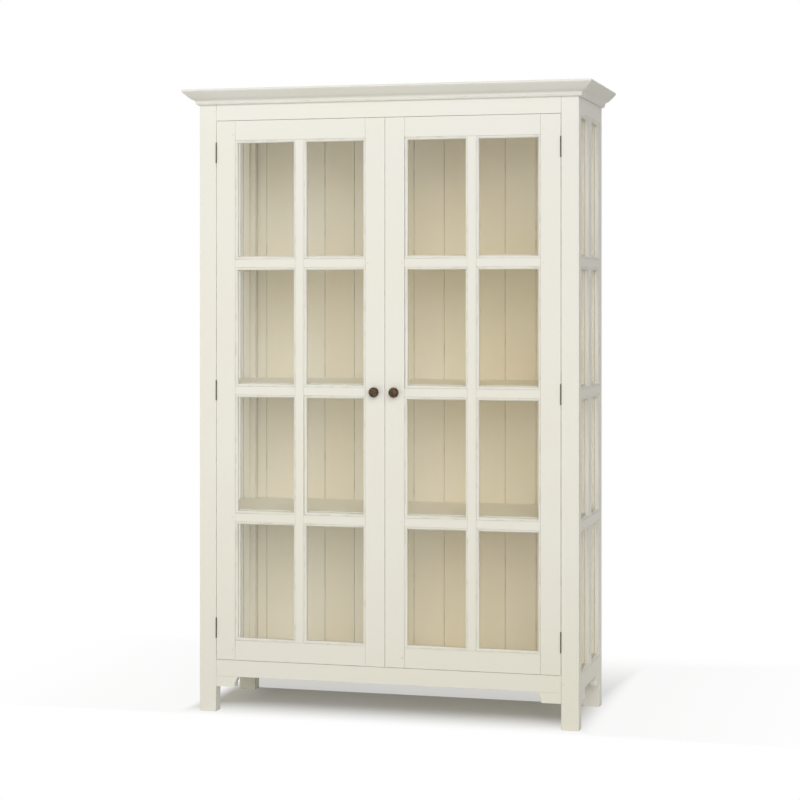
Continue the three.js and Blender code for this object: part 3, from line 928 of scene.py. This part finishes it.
# Knobs: rose, neck and a domed head. A curve is how far the radius strays from the one named
# before it, and how far out from the door that is.
knob = {
    "stud": 0.0025,
    "studLength": 0.0137,
    "rose": 0.010,
    "roseCurve": ((-0.0006, 0.0003), (0, 0.0009), (-0.0004, 0.0022), (-0.0014, 0.003)),
    "neck": 0.0065,
    "neckCurve": (
        (0.0009, 0.0034), (0, 0.0045), (-0.0004, 0.0075), (0.0006, 0.0105), (0.0032, 0.0126),
    ),
    "head": 0.016,
    "rim": 0.0155,
    "projection": 0.030,
    "lip": 0.0028,
    "lipArc": (-60, -12, 3),
    "domeSteps": 12,
    "steps": 48,
}


def addKnob(name):
    low, high = box(name + "_door_knob")
    centre = ((low.x + high.x) / 2, front, (low.z + high.z) / 2)
    head, rim, steps = knob["head"], knob["rim"], knob["domeSteps"]
    dome = [
        (head * cos(turn), rim + (knob["projection"] - rim) * sin(turn))
        for turn in [radians(90 * i / steps) for i in range(steps)]
    ]
    rose = [(knob["rose"] + more, out) for more, out in knob["roseCurve"]]
    neck = [(knob["neck"] + more, out) for more, out in knob["neckCurve"]]
    under = arc((head - knob["lip"], rim), knob["lip"], *knob["lipArc"])
    profile = [
        (0, -knob["studLength"]), (knob["stud"], -knob["studLength"]), (knob["stud"], rose[0][1]),
        *rose, *neck, *under, *dome, (0, knob["projection"]),
    ]
    bm = startMesh()
    addTurned(bm, [(radius, -out) for radius, out in profile], centre, "y", knob["steps"])
    for face in bm.faces:
        face.smooth = True
    addPiece(bm, name + "Knob", name + "_door", "dark_bronze", knobBronze, name + "_door_knob")


addKnob("left")
addKnob("right")


# Hinges: a leaf let into the post and one let into the door, with a knuckle of three lengths
hinge = {
    "leaf": 0.0014,
    "leafEdge": 0.0002,
    "depth": 0.019,
    "barrel": 0.0018,
    "barrelSteps": 24,
    "ease": 0.0004,
    "easeShare": 0.3,
    "strap": 0.0005,
    "strapEdge": 0.0001,
    "strapTuck": 0.001,
    "knuckleShare": 0.4,
    "screw": 0.0034,
    "screwRises": (-0.021, 0, 0.021),
    "screwShare": 0.52,
}
screw = {
    "dome": 0.0006,
    "domeTurn": 15,
    "domeSteps": 6,
    "depth": 0.0008,
    "neckShare": 0.96,
    "steps": 20,
}


def addKnuckle(bm, x, y, low, high):
    radius, ease = hinge["barrel"], hinge["ease"]
    slight = ease * hinge["easeShare"]
    profile = [
        (0, 0), (radius - ease, 0), (radius - slight, slight), (radius, ease),
        (radius, high - low - ease), (radius - slight, high - low - slight),
        (radius - ease, high - low), (0, high - low),
    ]
    addTurned(bm, profile, (x, y, low), "z", hinge["barrelSteps"])


def addScrew(bm, centre, axis, direction, radius):  # a domed head that faces the given direction
    turns = [radians(i * screw["domeTurn"]) for i in range(screw["domeSteps"])]
    dome = [(radius * cos(turn), screw["dome"] * sin(turn)) for turn in turns]
    base = [(0, -screw["depth"]), (radius * screw["neckShare"], -screw["depth"])]
    profile = [*base, *dome, (0, screw["dome"])]
    addTurned(bm, [(r, direction * out) for r, out in profile], centre, axis, screw["steps"])


def addHinge(side, name, index):
    doorNode = name + "_door_hinge_leaf_" + str(index)
    postNode = name + "_post_hinge_leaf_" + str(index)
    low, high = box(postNode)[0].z, box(postNode)[1].z
    middle = (low + high) / 2
    reach = (high - low) * hinge["knuckleShare"] / 2
    doorEdge = box("right_door_hinge_stile")[1].x
    x, y = side * (innerHalf + doorEdge) / 2, front - hinge["barrel"] - gap
    doorSpan = (middle - reach + gap, middle + reach - gap)
    for node, edge, direction, body, spans in (
        (postNode, innerHalf, 1, "carcass", [(low, middle - reach), (middle + reach, high)]),
        (doorNode, doorEdge + door["swell"], -1, name + "_door", [doorSpan]),
    ):
        near, far = sorted((side * edge, side * (edge + direction * hinge["leaf"])))
        inside, strap = sorted((side * edge, side * (edge + direction * hinge["strap"])))
        bm = startMesh()
        start, finish = (near, front + gap, low), (far, front + hinge["depth"], high)
        addBlock(bm, start, finish, hinge["leafEdge"], 1)
        for bottom, top in spans:
            finish = (strap, front + hinge["strapTuck"], top)
            addBlock(bm, (inside, y, bottom), finish, hinge["strapEdge"], 1)
            addKnuckle(bm, x, y, bottom, top)
        for rise in hinge["screwRises"]:
            place = (side * edge, front + hinge["depth"] * hinge["screwShare"], middle + rise)
            addScrew(bm, place, "x", -side * direction, hinge["screw"])
        piece = name + ("Post" if direction > 0 else "Door") + "Hinge" + str(index)
        addPiece(bm, piece, body, "dark_bronze", hingeBronze, node)


for index in (1, 2, 3):
    addHinge(-1, "left", index)
    addHinge(1, "right", index)


# Catch behind the top rail, with two magnets, and the steel strikes on the doors
catch = {
    "edge": 0.0012,
    "across": 0.019,
    "magnet": ((0, 0), (0.006, 0), (0.0066, 0.0004), (0.0066, 0.001), (0, 0.001)),
    "magnetInset": 0.0075,
    "magnetSteps": 24,
    "screw": 0.0035,
    "screwDrop": 0.012,
    "strikeEdge": 0.0004,
    "strikeScrew": 0.0036,
}


def addCatch():
    low, high = box("magnet_catch")
    bm = startMesh()
    addBlock(bm, low, high, catch["edge"], 3)
    addPiece(bm, "catchBody", "carcass", "catch_plastic", catchPlastic, "magnet_catch")
    bm = startMesh()
    profile = [(radius, -out) for radius, out in catch["magnet"]]
    for x in (-catch["across"], catch["across"]):
        centre = (x, high.y - catch["magnetInset"], low.z)
        addTurned(bm, profile, centre, "z", catch["magnetSteps"])
        addScrew(bm, (x, high.y, high.z - catch["screwDrop"]), "y", 1, catch["screw"])
    addPiece(bm, "catchMagnets", "carcass", "strike_steel", zincSteel)


def addStrike(name):
    low, high = box(name + "_door_strike")
    bm = startMesh()
    addBlock(bm, low, high, catch["strikeEdge"])
    middle = (low + high) / 2
    addScrew(bm, (middle.x, high.y, middle.z), "y", 1, catch["strikeScrew"])
    addPiece(bm, name + "Strike", name + "_door", "strike_steel", zincSteel, name + "_door_strike")


addCatch()
addStrike("left")
addStrike("right")
print("fittings made")


# Floor, backdrop and light. A pair of numbers is where a mask starts and where it is full.
studio = {
    "floor": tone(228, 228, 228),
    "speck": tone(206, 206, 206),
    "speckShare": 0.06,
    "speckScale": 60,
    "sky": (1.0, 0.99, 0.955, 1),
    "skyBeside": (1.0, 0.94, 0.6, 1),
    "bounce": (1.0, 0.985, 0.92, 1),
    "around": 0.03,
    "ahead": 1.75,
    "aim": (0.337, -0.926, 0.174),
    "aimTint": (0.2, 0.95),
    "left": 0.6,
    "right": 0.06,
    "rear": 0.8,
    "rearRise": (0.1, 0.5),
    "rearTint": (0, 0.6),
    "glow": 0.88,
    "glowStart": (0.6, 2.2),
    "glowSide": (1.0, 2.2),
    "strip": 0.55,
    "stripStart": (0.6, 0.8),
    "stripEnd": (1.2, 2.2),
    "stripRear": (-0.5, 0.1),
    "white": 1.0,
    "reach": 25,
}

# How much of the floor's own colour gives way to white as seen: where that starts, where it is full, its
# share.
# The white is painted light that shapes the floor's shadow, with a painted shadow edge along the back.
whiter = {
    "least": 0.07,
    "front": (-0.04, 0.28, 0.93),
    "right": (0.5, 0.66, 0.92),
    "left": (0.4, 0.6, 0.16),
    "leftFar": (0.6, 0.68, 0.76),
    "far": (0.6, 1.6, 0.08),
    "rear": (back - 0.008, back, 0.5),
    "rearFar": (back, 1.2, 0.5),
}


def whiteShare(distance, name):
    start, full, share = whiter[name]
    return share * distance.between(start, full)


def addFloor():
    sheet = Sheet(bpy.data.materials.new("studioFloor"))
    right, away = sheet.along("X"), sheet.along("Y")
    left, ahead = 0 - right, 0 - away
    inFront = whiter["least"] + whiteShare(ahead, "front")
    beside = whiteShare(right, "right") + whiteShare(left, "left")
    beside = beside + whiteShare(left, "leftFar") + whiteShare(right.size(), "far")
    behind = whiteShare(away, "rear") + whiteShare(away, "rearFar")
    seen = sheet.seen()
    specks = sheet.noise(studio["speckScale"]) * studio["speckShare"]
    colour = sheet.blend(specks, studio["floor"], studio["speck"])
    plain = sheet.add("ShaderNodeBsdfDiffuse", {}, {"Color": colour})
    shine = sheet.blend(seen, studio["bounce"], (1, 1, 1, 1))
    white = sheet.add("ShaderNodeEmission", {}, {"Color": shine, "Strength": studio["white"]})
    # For other rays the floor glows ahead of the bookcase and in a strip to its right, as a hidden lamp
    # lighting it from below
    glow = ahead.between(*studio["glowStart"]) * (1 - right.between(*studio["glowSide"]))
    strip = right.between(*studio["stripStart"]) - right.between(*studio["stripEnd"])
    strip = strip * away.between(*studio["stripRear"])
    glow = glow * studio["glow"] + strip * studio["strip"]
    share = inFront.most(beside).most(behind) * seen + glow * (1 - seen)
    bm = bmesh.new()
    bmesh.ops.create_grid(bm, x_segments=1, y_segments=1, size=studio["reach"])
    mesh = bpy.data.meshes.new("floor")
    bm.to_mesh(mesh)
    bm.free()
    mesh.materials.append(sheet.finish(sheet.mixShader(share, plain, white)))
    floor = bpy.data.objects.new("floor", mesh)
    bpy.context.collection.objects.link(floor)


def addBackdrop():
    world = bpy.data.worlds.new("studio")
    bpy.context.scene.world = world
    sheet = Sheet(world)
    kind = "ShaderNodeBackground"
    across, away, up = [sheet.along(axis) for axis in "XYZ"]
    dot, pair = {"operation": "DOT_PRODUCT"}, {0: sheet.place(), 1: studio["aim"]}
    lobe = sheet.add("ShaderNodeVectorMath", dot, pair, "Value").most(0)
    broad = lobe * lobe
    sides = (0 - across).most(0) * studio["left"] + across.most(0) * studio["right"]
    rear = away.most(0) * (1 - up.between(*studio["rearRise"]))
    level = studio["around"] + sides + broad * broad * studio["ahead"] + rear * studio["rear"]
    colour = sheet.blend(lobe.between(*studio["aimTint"]), studio["skyBeside"], studio["sky"])
    colour = sheet.blend(rear.between(*studio["rearTint"]), colour, studio["sky"])
    lit = sheet.add(kind, {}, {"Color": colour, "Strength": level})
    white = sheet.add(kind, {}, {"Color": (1, 1, 1, 1), "Strength": studio["white"]})
    sheet.finish(sheet.mixShader(sheet.seen(), lit, white))


# The key light: a broad sun from the front and the right
key = {
    "azimuth": 22,
    "elevation": 22,
    "angle": 40,
    "strength": 0.7,
    "colour": (1, 0.995, 0.985),
}


def addKey():
    data = bpy.data.lights.new("key", "SUN")
    data.angle = radians(key["angle"])
    data.energy = key["strength"]
    data.color = key["colour"]
    lamp = bpy.data.objects.new("key", data)
    lamp.rotation_euler = (radians(90 - key["elevation"]), 0, radians(key["azimuth"]))
    bpy.context.collection.objects.link(lamp)


addFloor()
addBackdrop()
addKey()
bpy.context.scene.view_settings.view_transform = "Standard"
print("studio lit")
